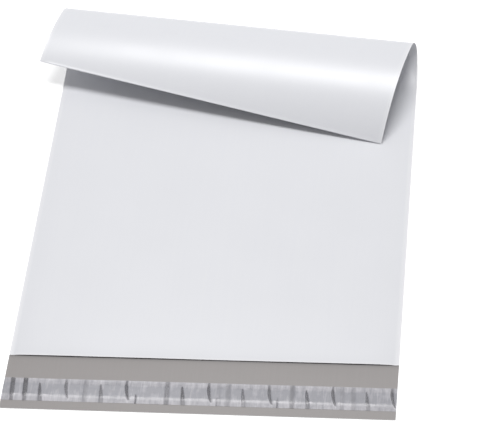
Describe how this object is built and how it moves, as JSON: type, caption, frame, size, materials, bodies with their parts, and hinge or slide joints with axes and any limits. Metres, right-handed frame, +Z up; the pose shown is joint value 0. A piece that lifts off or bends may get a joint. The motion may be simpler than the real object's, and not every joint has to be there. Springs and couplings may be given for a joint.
{
  "type": "poly mailer bag",
  "caption": "Flat film shipping bag with a welded pocket, a self-seal flap under a clear release liner, and its closed end curled up and over its front panel.",
  "frame": {"origin": "on the surface the bag lies on, under the middle of the whole part's footprint, curl included", "axes": "+Z up out of the front panel, +Y along the bag from the flap to the closed end, +X to the right across the mouth"},
  "size_m": [0.2646, 0.3246, 0.0265],
  "materials": {
    "polyethylene_film": "soft satin gloss, white outside, grey inside",
    "hot_melt_glue": "clear glossy glue band, seen grey on the flap",
    "clear_liner_film": "translucent glossy film, lightly creased"
  },
  "bodies": {
    "root": {"bag_film": "polyethylene_film", "adhesive_strip": "hot_melt_glue", "release_liner": "clear_liner_film"}
  },
  "joints": []
}
